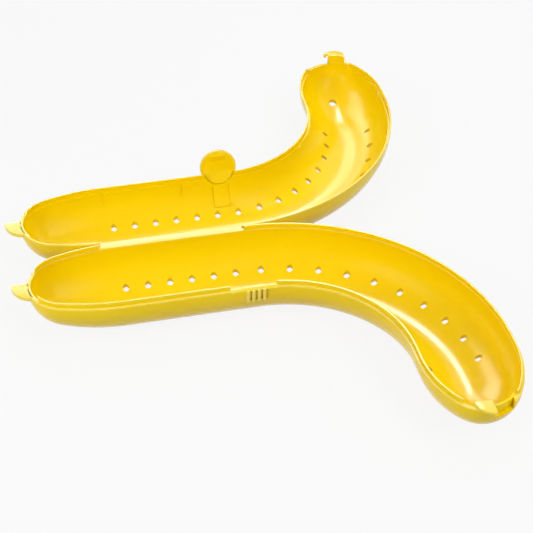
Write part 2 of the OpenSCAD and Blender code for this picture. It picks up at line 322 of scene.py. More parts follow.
def square_edges(bm, lowest=None):
    """Edges with a square turn, all of them or only those above a height."""
    found = [e for e in bm.edges if len(e.link_faces) == 2 and e.calc_face_angle() > SQUARE]
    if lowest is None:
        return found
    return [e for e in found if min(v.co.z for v in e.verts) > lowest]


def slice_at(bm, place, normal, **clear):
    """Cuts the whole mesh along a plane."""
    geom = bm.verts[:] + bm.edges[:] + bm.faces[:]
    bmesh.ops.bisect_plane(bm, geom=geom, dist=MERGE, plane_co=place, plane_no=normal, **clear)


def block(low, high):
    """A box between two corners."""
    bm = bmesh.new()
    low, high = Vector(low), Vector(high)
    place = Matrix.Translation((low + high) / 2) @ Matrix.Diagonal((*(high - low), 1))
    bmesh.ops.create_cube(bm, size=1, matrix=place)
    return bm


def column(radius, low, high, segments=BAR_SIDES, radius_high=None):
    """A round bar between two points, straight or tapered."""
    bm = bmesh.new()
    low, high = Vector(low), Vector(high)
    run = high - low
    place = Matrix.Translation((low + high) / 2) @ Z.rotation_difference(run).to_matrix().to_4x4()
    bmesh.ops.create_cone(
        bm, cap_ends=True, segments=segments, radius1=radius,
        radius2=radius if radius_high is None else radius_high, depth=run.length, matrix=place,
    )
    return bm


def join_into(bm, other):
    """Adds another mesh and frees it."""
    mesh = bpy.data.meshes.new("joined")
    other.to_mesh(mesh)
    other.free()
    bm.from_mesh(mesh)
    bpy.data.meshes.remove(mesh)


def combine(bm, tool, operation="DIFFERENCE"):
    """Cuts or joins two closed meshes and returns the result."""
    objects = []
    for name, part in (("work", bm), ("tool", tool)):
        mesh = bpy.data.meshes.new(name)
        part.to_mesh(mesh)
        part.free()
        obj = bpy.data.objects.new(name, mesh)
        bpy.context.scene.collection.objects.link(obj)
        objects.append(obj)
    work, tool = objects
    modifier = work.modifiers.new("combine", "BOOLEAN")
    modifier.object = tool
    modifier.operation = operation
    modifier.solver = "EXACT"
    graph = bpy.context.evaluated_depsgraph_get()
    mesh = bpy.data.meshes.new_from_object(work.evaluated_get(graph))
    out = bmesh.new()
    out.from_mesh(mesh)
    if not out.faces:
        raise RuntimeError("a cut left nothing")
    for obj in objects:
        old = obj.data
        bpy.data.objects.remove(obj)
        bpy.data.meshes.remove(old)
    bpy.data.meshes.remove(mesh)
    return out


def add_end(bm, s, taper, nose, inset, place):
    """Turned skin of one tapered end: a side curve and a nose, swept under the rim."""
    tube = s.tube_radius
    side = (taper**2 + tube**2 - nose**2) / (2 * (tube - nose))
    lean = math.atan2(taper, side - tube)
    end = bmesh.new()
    start = end.verts.new((tube - inset, 0, 0))
    last = turn(end, [start], (tube - side, 0, 0), Z, lean, SIDE_STEPS)
    turn(end, verts_of(last), (0, taper, 0), Z, math.pi / 2 - lean, NOSE_STEPS)
    turn(end, end.verts[:] + end.edges[:], (0, 0, 0), Y, math.pi, RING_STEPS)
    bmesh.ops.remove_doubles(end, verts=end.verts[:], dist=MERGE)
    bmesh.ops.transform(end, matrix=place, verts=end.verts[:])
    join_into(bm, end)


def trough_skin(s, inset):
    """Open skin of one half at a depth below its outer face, up to the rim."""
    p = Plan(s)
    bm = bmesh.new()
    radius = s.tube_radius - inset
    start = bm.verts.new((-s.straight_run, radius - p.axis_y, -s.rim_height))
    turn(bm, [start], (0, -p.axis_y, -s.rim_height), X, -math.pi, RING_STEPS)
    ring = pull(bm, bm.edges[:], X * s.straight_run, STRAIGHT_STEPS)
    ring += dict.fromkeys(v for e in ring for v in e.verts)
    ring = turn(bm, ring, (0, -p.bend_y, 0), Z, -math.pi / 2, BEND_STEPS)
    pull(bm, edges_of(ring), -Y * s.head_run)
    tail = Matrix.Translation((-s.straight_run, -p.axis_y, -s.rim_height))
    head = Matrix.Translation((s.bend_radius, -p.taper_y, -s.rim_height))
    tail = tail @ Matrix.Rotation(math.pi / 2, 4, "Z")
    head = head @ Matrix.Rotation(math.pi, 4, "Z")
    add_end(bm, s, s.tail_taper, s.tail_nose, inset, tail)
    add_end(bm, s, s.head_taper, s.head_nose, inset, head)
    bmesh.ops.remove_doubles(bm, verts=bm.verts[:], dist=MERGE)
    pull(bm, [e for e in bm.edges if e.is_boundary], Z * s.rim_height)
    return bm


def trough_wall(s):
    """Closed wall of one half, with square rims."""
    bm = trough_skin(s, 0)
    bmesh.ops.recalc_face_normals(bm, faces=bm.faces[:])
    lowest = min(bm.faces, key=lambda face: face.calc_center_median().z)
    if lowest.normal.z > 0:
        bmesh.ops.reverse_faces(bm, faces=bm.faces[:])
    bmesh.ops.solidify(bm, geom=bm.faces[:], thickness=s.wall)
    return bm


def rim_line(s, inset):
    """Closed line of the rim at a depth inside the outer face."""
    bm = trough_skin(s, inset)
    low = [v for v in bm.verts if v.co.z < -MERGE]
    bmesh.ops.delete(bm, geom=low, context="VERTS")
    bmesh.ops.delete(bm, geom=bm.faces[:], context="FACES_ONLY")
    return bm


def plan_solid(s, inset, low, high):
    """Upright solid inside the rim line, between two heights."""
    bm = rim_line(s, inset)
    bmesh.ops.contextual_create(bm, geom=bm.edges[:])
    bmesh.ops.translate(bm, verts=bm.verts[:], vec=Z * low)
    raise_faces(bm, Z * (high - low))
    return bm


def vent_cutters(s):
    """Upright bars for the rows of vents and the hanging hole."""
    p = Plan(s)
    first, spread = VENT_FAN
    spots = []
    for side in (-1, 1):
        for i in range(s.vents_straight):
            spots.append((VENT_START - i * s.vent_pitch, side * s.vent_row - p.axis_y))
    for row, count in ((-s.vent_row, s.vents_inner), (s.vent_row, s.vents_outer)):
        for i in range(count):
            angle = math.radians(first + spread * i / (count - 1))
            reach = s.bend_radius + row
            spots.append((reach * math.sin(angle), reach * math.cos(angle) - p.bend_y))
    low = -s.tube_radius - s.rim_height - PAST
    mouth = -s.rim_height - math.sqrt((s.tube_radius - s.wall) ** 2 - s.vent_row**2)
    high = mouth + VENT_ABOVE
    wide = s.vent / 2 + VENT_DRAFT * (mouth - low)
    slim = s.vent / 2 - VENT_DRAFT * (high - mouth)
    bm = bmesh.new()
    for x, y in spots:
        join_into(bm, column(wide, (x, y, low), (x, y, high), HOLE_SIDES, slim))
    hang = Vector((s.bend_radius, -p.hang_y, low))
    join_into(bm, column(s.hang_hole / 2, hang, hang + Z * s.tube_radius, HOLE_SIDES))
    return bm


def rim_nick(s, side):
    """Small bar that nicks the rim beside a finger tab; side is -1 towards the hinge."""
    p = Plan(s)
    off = 9.2 * MM
    radius = 1.2 * MM
    reach = 1.6 * MM
    x = p.tail_x - math.sqrt(s.tail_nose**2 - off**2)
    y = -p.axis_y - side * off
    return column(radius, (x, y, -reach), (x, y, reach))


def head_column(s, radius):
    """Tall round bar on the centre of the nose at the head end."""
    base = Vector((s.bend_radius, -Plan(s).head_y, -s.head_nose))
    return column(radius, base, base + Z * 2 * s.head_nose, HEAD_SIDES)


def catch_slots(s):
    """Shallow upright slots beside the catch ribs, cut into the round of the wall."""
    p = Plan(s)
    out_y = -p.axis_y - s.tube_radius
    short = 0.3 * MM
    depth = 0.45 * MM
    reach = 10 * MM
    half = (CATCH_PITCH - CATCH_RIB) / 2
    bm = bmesh.new()
    for i in CATCH_PLACES:
        x = LATCH_X + (i + 0.5) * CATCH_PITCH
        low = (x - half, out_y - PAST, CATCH_LOW + short)
        join_into(bm, block(low, (x + half, -p.axis_y, CATCH_HIGH - short)))
    axis = Vector((LATCH_X, -p.axis_y, -s.rim_height))
    core = column(s.tube_radius - depth, axis - X * reach, axis + X * reach, WALL_SIDES)
    return combine(bm, core)


def slope_rim(bm, s):
    """Lets the rim of the base fall outward where the closing lip is broken for the latch."""
    p = Plan(s)
    half = s.lip_break / 2
    for reach in (-half, RIM_RAMP - half, half - RIM_RAMP, half):
        slice_at(bm, (LIP_BREAK_X + reach, 0, 0), X)
    outer = s.bend_radius - s.tube_radius + s.wall / 2
    low = []
    for vert in bm.verts:
        across = math.hypot(max(vert.co.x, 0), vert.co.y + p.bend_y)
        between = abs(vert.co.x - LIP_BREAK_X) < half - RIM_RAMP / 2
        if vert.co.z > -MERGE and between and across < outer:
            low.append(vert)
    bmesh.ops.translate(bm, verts=low, vec=-Z * RIM_FALL)


def nibs(spots, z):
    """Small upright bumps with rounded tops, below a rim."""
    radius = 0.8 * MM
    height = 1.4 * MM
    sides = 16
    bm = bmesh.new()
    for x, y in spots:
        one = column(radius, (x, y, z - height), (x, y, z), sides)
        round_edges(one, square_edges(one), radius / 2)
        join_into(bm, one)
    return bm


def quarter(radius, corner, toward, low, high):
    """Quarter-round plate with its corner at a point, reaching along -x and along the given y."""
    bm = bmesh.new()
    centre = bm.verts.new(corner)
    start = bm.verts.new(Vector(corner) - X * radius)
    last = turn(bm, [start], corner, Z, -toward * math.pi / 2, TAB_STEPS)
    bm.edges.new((centre, start))
    bm.edges.new((centre, verts_of(last)[0]))
    bmesh.ops.contextual_create(bm, geom=bm.edges[:])
    bmesh.ops.translate(bm, verts=bm.verts[:], vec=Z * low)
    raise_faces(bm, Z * (high - low))
    return bm


def wall_mark(s, x, wide, low, high):
    """Bar that leaves a shallow groove in the far inner wall of the lid."""
    p = Plan(s)
    depth = 0.45 * MM
    axis = Vector((x, -p.axis_y, -s.rim_height))
    bar = column(s.tube_radius - s.wall + depth, axis, axis + X * wide, WALL_SIDES)
    keep = block((x - PAST, -p.axis_y - s.tube_radius, low), (x + wide + PAST, -p.axis_y, high))
    return combine(bar, keep, "INTERSECT")


def mark_edges(bm):
    """Marks the points of the rounded edges above the troughs, which get a painted highlight: a little
    paler.
    """
    layer = bm.verts.layers.float.new("edge")
    low, high = EDGE_TURN
    for vert in bm.verts:
        turns = [e.calc_face_angle_signed(0) for e in vert.link_edges]
        vert[layer] = vert.co.z > EDGE_LOW and any(low < angle < high for angle in turns)


def finish_piece(bm, name, body, material, nodes, s, mirrored=False):
    """Puts a mesh in the shared frame as a piece that rides on a body and stands for CAD nodes."""
    place = Matrix.Translation(Plan(s).shift)
    if mirrored:
        place = place @ Matrix.Diagonal((1, -1, 1, 1))
    bmesh.ops.transform(bm, matrix=place, verts=bm.verts[:])
    if mirrored:
        bmesh.ops.reverse_faces(bm, faces=bm.faces[:])
    for face in bm.faces:
        face.smooth = True
    mark_edges(bm)
    mesh = bpy.data.meshes.new(name)
    bm.to_mesh(mesh)
    bm.free()
    mesh.set_sharp_from_angle(angle=SHARP)
    mesh.materials.append(material)
    obj = bpy.data.objects.new(name, mesh)
    bpy.context.scene.collection.objects.link(obj)
    if body:
        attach(obj, body)
    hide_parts(*nodes)
    return obj


def node(tree, kind, **values):
    """Adds a node and sets its plain values and its unlinked sockets by name."""
    made = tree.nodes.new(kind)
    for key, value in values.items():
        if hasattr(made, key):
            setattr(made, key, value)
        else:
            made.inputs[key.replace("_", " ")].default_value = value
    return made


def moulded_skin():
    """Node group of the moulded surface: colour drift, uneven gloss, painted highlight on the marked
    upper edges, fine relief.
    """
    name = "moulded_skin"
    found = bpy.data.node_groups.get(name)
    if found:
        return found
    tree = bpy.data.node_groups.new(name, "ShaderNodeTree")
    face = tree.interface
    face.new_socket("Vector", in_out="INPUT", socket_type="NodeSocketVector")
    for label in ("Body", "Deep", "Pale"):
        face.new_socket(label, in_out="INPUT", socket_type="NodeSocketColor")
    for label in ("Edge", "Gloss"):
        face.new_socket(label, in_out="INPUT", socket_type="NodeSocketFloat")
    face.new_socket("Color", in_out="OUTPUT", socket_type="NodeSocketColor")
    for label in ("Roughness", "Height"):
        face.new_socket(label, in_out="OUTPUT", socket_type="NodeSocketFloat")
    enter = tree.nodes.new("NodeGroupInput")
    leave = tree.nodes.new("NodeGroupOutput")
    link = tree.links.new
    drift = node(tree, "ShaderNodeTexNoise", Scale=22.0, Detail=3.0, Roughness=0.5)
    link(enter.outputs["Vector"], drift.inputs["Vector"])
    spread = node(tree, "ShaderNodeMapRange", From_Min=0.35, From_Max=0.65, To_Min=0.0, To_Max=1.0)
    link(drift.outputs["Fac"], spread.inputs["Value"])
    tone = node(tree, "ShaderNodeMix", data_type="RGBA")
    link(spread.outputs["Result"], tone.inputs["Factor"])
    link(enter.outputs["Body"], tone.inputs["A"])
    link(enter.outputs["Deep"], tone.inputs["B"])
    haze = node(tree, "ShaderNodeTexNoise", Scale=160.0, Detail=4.0, Roughness=0.6)
    link(enter.outputs["Vector"], haze.inputs["Vector"])
    # painted highlight: the pale tone mixed in on the marked upper edges, broken up by the haze noise
    painted_sheen_mask = node(tree, "ShaderNodeMath", operation="MULTIPLY")
    link(enter.outputs["Edge"], painted_sheen_mask.inputs[0])
    link(haze.outputs["Fac"], painted_sheen_mask.inputs[1])
    painted_sheen = node(tree, "ShaderNodeMix", data_type="RGBA")
    link(painted_sheen_mask.outputs["Value"], painted_sheen.inputs["Factor"])
    link(tone.outputs["Result"], painted_sheen.inputs["A"])
    link(enter.outputs["Pale"], painted_sheen.inputs["B"])
    link(painted_sheen.outputs["Result"], leave.inputs["Color"])
    vary = node(tree, "ShaderNodeMapRange", From_Min=0.3, From_Max=0.7, To_Min=-0.05, To_Max=0.06)
    link(haze.outputs["Fac"], vary.inputs["Value"])
    gloss = node(tree, "ShaderNodeMath", operation="ADD")
    link(enter.outputs["Gloss"], gloss.inputs[0])
    link(vary.outputs["Result"], gloss.inputs[1])
    link(gloss.outputs["Value"], leave.inputs["Roughness"])
    peel = node(tree, "ShaderNodeTexNoise", Scale=700.0, Detail=2.0, Roughness=0.5)
    link(enter.outputs["Vector"], peel.inputs["Vector"])
    link(peel.outputs["Fac"], leave.inputs["Height"])
    return tree


def plastic(name, body, deep, pale, roughness, glow):
    """Moulded satin plastic: a little light travels in the thin wall."""
    material = bpy.data.materials.new(name)
    material.use_nodes = True
    tree = material.node_tree
    link = tree.links.new
    shader = tree.nodes["Principled BSDF"]
    shader.inputs["IOR"].default_value = 1.49
    shader.inputs["Specular IOR Level"].default_value = 0.22
    shader.inputs["Subsurface Weight"].default_value = glow
    shader.inputs["Subsurface Radius"].default_value = (1.0, 0.62, 0.08)
    shader.inputs["Subsurface Scale"].default_value = 2 * MM
    place = tree.nodes.new("ShaderNodeTexCoord")
    edge = node(tree, "ShaderNodeAttribute", attribute_name="edge")
    skin = node(tree, "ShaderNodeGroup", node_tree=moulded_skin())
    skin.inputs["Body"].default_value = body
    skin.inputs["Deep"].default_value = deep
    skin.inputs["Pale"].default_value = pale
    skin.inputs["Gloss"].default_value = roughness
    relief = node(tree, "ShaderNodeBump", Strength=0.08, Distance=0.1 * MM)
    link(place.outputs["Object"], skin.inputs["Vector"])
    link(edge.outputs["Fac"], skin.inputs["Edge"])
    link(skin.outputs["Color"], shader.inputs["Base Color"])
    link(skin.outputs["Roughness"], shader.inputs["Roughness"])
    link(skin.outputs["Height"], relief.inputs["Height"])
    link(relief.outputs["Normal"], shader.inputs["Normal"])
    return material


def yellow_plastic(scene):
    """Material of the moulded pieces, made once."""
    look = scene.case_plastic
    name = "moulded_yellow"
    found = bpy.data.materials.get(name)
    return found or plastic(name, look.body, look.deep, look.pale, look.roughness, look.glow)


def hinge_plastic(scene):
    """Material of the hinge, paler and less glossy where the film is flexed, made once."""
    look = scene.case_plastic
    name = "flexed_film"
    duller = look.roughness + 0.12
    found = bpy.data.materials.get(name)
    return found or plastic(name, look.pale, look.body, look.pale, duller, look.glow)


class CASE_OT_base_trough(bpy.types.Operator):
    """Near half: bent trough with vents, hanging hole and the gap at its head end"""

    bl_idname = "case.base_trough"
    bl_label = "Base Trough"

    def execute(self, context):
        s = context.scene.case_sizes
        p = Plan(s)
        nib_top = -1.4 * MM
        bm = trough_wall(s)
        slope_rim(bm, s)
        round_edges(bm, square_edges(bm, -RIM_FALL - MERGE), s.rim_round)
        bm = self.cut_gap(bm, s, p)
        bm = combine(bm, rim_nick(s, -1))
        bm = combine(bm, vent_cutters(s))
        bm = combine(bm, catch_slots(s))
        inner_x = s.bend_radius - s.tube_radius + s.wall
        bm = combine(bm, nibs([(inner_x, -p.bend_y), (inner_x, -p.taper_y)], nib_top), "UNION")
        finish_piece(bm, "base_trough", "base", yellow_plastic(context.scene), ["base_shell"], s)
        return {"FINISHED"}

    def cut_gap(self, bm, s, p):
        """Thickens the wall at the head end and cuts the gap for the upright tab of the lid."""
        rib = 1.3 * MM
        below = 0.1 * MM
        deep = s.head_tab_height + 0.5 * MM
        gap_radius = s.head_nose - s.wall - 0.4 * MM
        x0 = p.pocket_x0
        x1 = x0 + s.head_tab_width + 2 * POCKET_SIDE
        back = -p.head_end + s.head_nose
        pocket = block((x0 - rib, -p.head_end, -deep - rib), (x1 + rib, back, -below))
        fill = bmesh.new()
        bmesh.ops.create_uvsphere(
            fill, u_segments=DISC_SIDES, v_segments=DISC_SIDES // 2, radius=s.head_nose - s.wall / 2,
            matrix=Matrix.Translation((s.bend_radius, -p.head_y, -s.rim_height)),
        )
        pocket = combine(pocket, fill, "INTERSECT")
        pocket = combine(pocket, head_column(s, gap_radius - rib))
        bm = combine(bm, pocket, "UNION")
        gap = block((x0, -p.head_end - PAST, -deep), (x1, back, deep))
        return combine(bm, combine(gap, head_column(s, gap_radius)))


class CASE_OT_lid_trough(bpy.types.Operator):
    """Far half: bent trough with a rebate for the lip, the latch notch and moulded marks"""

    bl_idname = "case.lid_trough"
    bl_label = "Lid Trough"

    def execute(self, context):
        s = context.scene.case_sizes
        p = Plan(s)
        step = s.lip_height + s.lip_clearance
        bm = trough_wall(s)
        round_edges(bm, square_edges(bm, -MERGE), s.rim_round)
        middle = Vector((LATCH_X, -p.axis_y, s.latch_rise))
        bm = combine(bm, column(p.notch_radius, middle, middle - Y * 2 * s.tube_radius, DISC_SIDES))
        bm = combine(bm, self.lowered_rim(s, p))
        bm = combine(bm, rim_nick(s, 1))
        for mark in self.wall_marks(s, p, step):
            bm = combine(bm, mark)
        bm = combine(bm, vent_cutters(s))
        bm = combine(bm, self.rim_nibs(s, p, step), "UNION")
        bm = combine(bm, self.rebate(s, p, step))
        material = yellow_plastic(context.scene)
        finish_piece(bm, "lid_trough", "lid", material, ["lid_shell"], s, mirrored=True)
        return {"FINISHED"}

    def lowered_rim(self, s, p):
        """Cutter that lowers the rim at the head end, where the flat tab of the base comes to lie."""
        drop = s.head_plate + 0.3 * MM
        ramp_run = 8 * MM
        low_x = s.bend_radius - 10.8 * MM
        out_y = -p.head_end - PAST
        bm = block((low_x, out_y, -drop), (p.head_tab_x, out_y + s.head_nose / 2, drop))
        ramp = [v for v in bm.verts if v.co.x < low_x + MERGE and v.co.z > 0]
        bmesh.ops.translate(bm, verts=ramp, vec=-X * ramp_run)
        return bm

    def wall_marks(self, s, p, step):
        """Cutters for the fine lines round the panel below the latch, a nick and two upright lines."""
        line = 0.5 * MM
        wide = 9 * MM
        left = LATCH_X - wide / 2
        foot = -16.5 * MM
        top = s.latch_rise - p.notch_radius
        inside = block(
            (left + line, -p.axis_y - s.tube_radius, foot + line),
            (left + wide - line, -p.axis_y, top + PAST),
        )
        nick_x = left + wide + 0.3 * MM
        nick_wide = 1.5 * MM
        nick_foot = foot - 0.2 * MM
        nick_top = foot + 1.3 * MM
        line_foot = -9.5 * MM
        line_places = (-65 * MM, -24 * MM)
        marks = [combine(wall_mark(s, left, wide, foot, top), inside)]
        marks.append(wall_mark(s, nick_x, nick_wide, nick_foot, nick_top))
        for x in line_places:
            marks.append(wall_mark(s, x, line, line_foot, -step))
        return marks

    def rim_nibs(self, s, p, step):
        """Bumps below the rebate: a pair at the head run and one at each side of the bend."""
        below = 0.05 * MM
        bend_places = ((68, 1), (50, -1))
        reach = s.tube_radius - s.wall
        spots = [(s.bend_radius + side * reach, -p.taper_y) for side in (-1, 1)]
        for degrees, side in bend_places:
            arm = s.bend_radius + side * reach
            angle = math.radians(degrees)
            spots.append((arm * math.sin(angle), arm * math.cos(angle) - p.bend_y))
        return nibs(spots, -step - below)

    def rebate(self, s, p, step):
        """Cutter for the inner step of the rim, which takes the closing lip of the base."""
        bm = rim_line(s, s.wall - s.lip_thickness - s.lip_clearance)
        bmesh.ops.contextual_create(bm, geom=bm.edges[:])
        slice_at(bm, (p.lip_x - s.lip_clearance, 0, 0), -X, clear_outer=True)
        slice_at(bm, (0, p.lip_y - s.lip_clearance, 0), -Y, clear_outer=True)
        bmesh.ops.translate(bm, verts=bm.verts[:], vec=-Z * step)
        raise_faces(bm, Z * (step + PAST))
        return bm


class CASE_OT_closing_lip(bpy.types.Operator):
    """Thin closing lip on the rim of the base, in runs"""

    bl_idname = "case.closing_lip"
    bl_label = "Closing Lip"

    def execute(self, context):
        s = context.scene.case_sizes
        p = Plan(s)
        hinge_clear = 0.6 * MM
        # depth of the band below the top of the lip that gets the painted highlight
        painted_sheen = 0.6 * MM
        round_share = 0.34
        bm = rim_line(s, s.wall - s.lip_thickness)
        sheet = bmesh.ops.contextual_create(bm, geom=bm.edges[:])["faces"]
        bmesh.ops.inset_region(
            bm, faces=sheet, thickness=s.lip_thickness, use_boundary=True, use_even_offset=True
        )
        bmesh.ops.delete(bm, geom=sheet, context="FACES_ONLY")
        slice_at(bm, (p.lip_x, 0, 0), -X, clear_outer=True)
        slice_at(bm, (0, p.lip_y, 0), -Y, clear_outer=True)
        half = s.lip_break / 2
        breaks = (
            (p.hinge_x0 - hinge_clear, p.hinge_x1 + hinge_clear, -p.axis_y, 0),
            (LIP_BREAK_X - half, LIP_BREAK_X + half, -p.bend_y, -p.axis_y),
        )
        for x0, x1, y0, y1 in breaks:
            slice_at(bm, (x0, 0, 0), X)
            slice_at(bm, (x1, 0, 0), X)
            inside = []
            for face in bm.faces:
                middle = face.calc_center_median()
                if x0 < middle.x < x1 and y0 < middle.y < y1:
                    inside.append(face)
            bmesh.ops.delete(bm, geom=inside, context="FACES")
        raise_faces(bm, Z * s.lip_height)
        crest = s.lip_height - MERGE
        top = [e for e in square_edges(bm) if max(v.co.z for v in e.verts) > crest]
        round_edges(bm, top, s.lip_thickness * round_share)
        # this cut keeps the painted highlight of the rounded top to a thin band
        slice_at(bm, (0, 0, s.lip_height - painted_sheen), Z)
        finish_piece(bm, "closing_lip", "base", yellow_plastic(context.scene), ["base_lip"], s)
        return {"FINISHED"}


class CASE_OT_catch(bpy.types.Operator):
    """Four upright ribs under the rim of the base"""

    bl_idname = "case.catch"
    bl_label = "Catch Ribs"

    def execute(self, context):
        s = context.scene.case_sizes
        out_y = -Plan(s).axis_y - s.tube_radius
        proud = 0.5 * MM
        root = 1.5 * MM
        rounding = 0.25 * MM
        half = CATCH_RIB / 2
        bm = bmesh.new()
        for i in CATCH_PLACES:
            x = LATCH_X + i * CATCH_PITCH
            rib = block((x - half, out_y - proud, CATCH_LOW), (x + half, out_y + root, CATCH_HIGH))
            round_edges(rib, rib.edges[:], rounding)
            join_into(bm, rib)
        finish_piece(bm, "catch_ribs", "base", yellow_plastic(context.scene), ["base_catch"], s)
        return {"FINISHED"}


class CASE_OT_finger_tabs(bpy.types.Operator):
    """Quarter-round finger tabs at the tail end of both halves"""

    bl_idname = "case.finger_tabs"
    bl_label = "Finger Tabs"

    def execute(self, context):
        s = context.scene.case_sizes
        p = Plan(s)
        material = yellow_plastic(context.scene)
        for body, side in (("base", 1), ("lid", -1)):
            corner = (p.tab_x, -p.axis_y + side * s.tab_shift, 0)
            bm = quarter(s.tab_radius, corner, -side, -s.tab_thickness, 0)
            bm = combine(bm, plan_solid(s, s.wall / 2, -2 * s.tab_thickness, s.tab_thickness))
            round_edges(bm, square_edges(bm), s.edge_round)
            nodes = [body + "_finger_tab"]
            finish_piece(bm, body + "_pull_tab", body, material, nodes, s, mirrored=body == "lid")
        return {"FINISHED"}


class CASE_OT_head_tabs(bpy.types.Operator):
    """Flat tab on the rim of the base and upright flanged tab of the lid, at the head end"""

    bl_idname = "case.head_tabs"
    bl_label = "Head Tabs"

    def execute(self, context):
        s = context.scene.case_sizes
        p = Plan(s)
        material = yellow_plastic(context.scene)
        radius = 8 * MM
        aside = 0.2 * MM
        reach = p.head_end + s.head_reach
        bm = quarter(radius, (p.pocket_x0 - aside, -reach + radius, 0), -1, 0, s.head_plate)
        round_edges(bm, square_edges(bm), s.edge_round)
        finish_piece(bm, "base_thumb_tab", "base", material, ["base_head_tab"], s)
        bm = self.upright_tab(s, p, reach)
        finish_piece(bm, "lid_thumb_tab", "lid", material, ["lid_head_tab"], s, mirrored=True)
        return {"FINISHED"}

    def upright_tab(self, s, p, reach):
        """Curved tab that carries on the wall of the lid upward, with its flange."""
        x0 = p.head_tab_x
        x1 = x0 + s.head_tab_width
        arc = math.radians(45)
        root = 1 * MM
        rounding = 0.25 * MM
        # depth of the band below the top of the tab that gets the painted highlight
        painted_sheen = 0.8 * MM
        centre = Vector((s.bend_radius, -p.head_y, 0))
        bm = bmesh.new()
        ends = [bm.verts.new(centre - Y * r) for r in (s.head_nose - s.wall, s.head_nose)]
        edge = bm.edges.new(ends)
        turn(bm, [*ends, edge], centre, Z, arc, TAB_STEPS)
        slice_at(bm, (x0, 0, 0), -X, clear_outer=True)
        slice_at(bm, (x1, 0, 0), X, clear_outer=True)
        bmesh.ops.translate(bm, verts=bm.verts[:], vec=-Z * root)
        raise_faces(bm, Z * (s.head_tab_height + root))
        bm = combine(bm, self.flange(s, p, reach, x0, x1), "UNION")
        seen = [e for e in square_edges(bm) if max(v.co.z for v in e.verts) > 0]
        round_edges(bm, seen, rounding)
        # this cut keeps the painted highlight of the rounded top to a thin band
        slice_at(bm, (0, 0, s.head_tab_height - painted_sheen), Z)
        return bm

    def flange(self, s, p, reach, x0, x1):
        """Outward flange on the upright tab, with a drooping end beside it."""
        radius = 6.5 * MM
        thick = 1.4 * MM
        inside_box = 0.02 * MM
        clear = 0.4 * MM
        overhang = 1.9 * MM
        cut_back = 1 * MM
        high = s.head_tab_height
        left = p.pocket_x0 - overhang
        middle = Vector((left + radius - cut_back, -reach + radius + inside_box, 0))
        bm = column(radius, middle + Z * (high - thick), middle + Z * high, DISC_SIDES)
        keep = block((left, middle.y - 2 * radius, 0), (x1, middle.y + radius, 2 * high))
        bm = combine(bm, keep, "INTERSECT")
        bm = combine(bm, head_column(s, s.head_nose - s.wall / 2))
        beside = block((left - PAST, -p.head_end - 2 * PAST, 0), (x0, -p.head_y, 2 * high))
        bm = combine(bm, combine(beside, head_column(s, s.head_nose + clear), "INTERSECT"))
        droop = 2.3 * MM
        droop_radius = 0.9 * MM
        droop_in = 1 * MM
        droop_out = 1.1 * MM
        end = Vector((left + droop_in, -p.head_end - droop_out, high))
        return combine(bm, column(droop_radius, end - Z * droop, end, TAB_STEPS), "UNION")


class CASE_OT_hinge_film(bpy.types.Operator):
    """Living hinge: one strip along both rims, thinned in the middle"""

    bl_idname = "case.hinge_film"
    bl_label = "Hinge Film"

    def execute(self, context):
        s = context.scene.case_sizes
        p = Plan(s)
        overlap = 0.4 * MM
        film = 0.45 * MM
        half = s.hinge_gap / 2 + overlap
        bm = block((p.hinge_x0, -half, -s.rim_height), (p.hinge_x1, half, 0))
        for share_of_film in (-2, -1, -0.6, -0.3, 0, 0.3, 0.6, 1, 2):
            slice_at(bm, (0, share_of_film * film, 0), Y)
        thin = [v for v in bm.verts if abs(v.co.y) < film + MERGE and v.co.z < -film]
        bmesh.ops.translate(bm, verts=thin, vec=Z * (s.rim_height - film))
        nodes = ["base_hinge_leaf", "lid_hinge_leaf"]
        material = hinge_plastic(context.scene)
        obj = finish_piece(bm, "hinge_strip", None, material, nodes, s)
        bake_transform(obj)
        return {"FINISHED"}


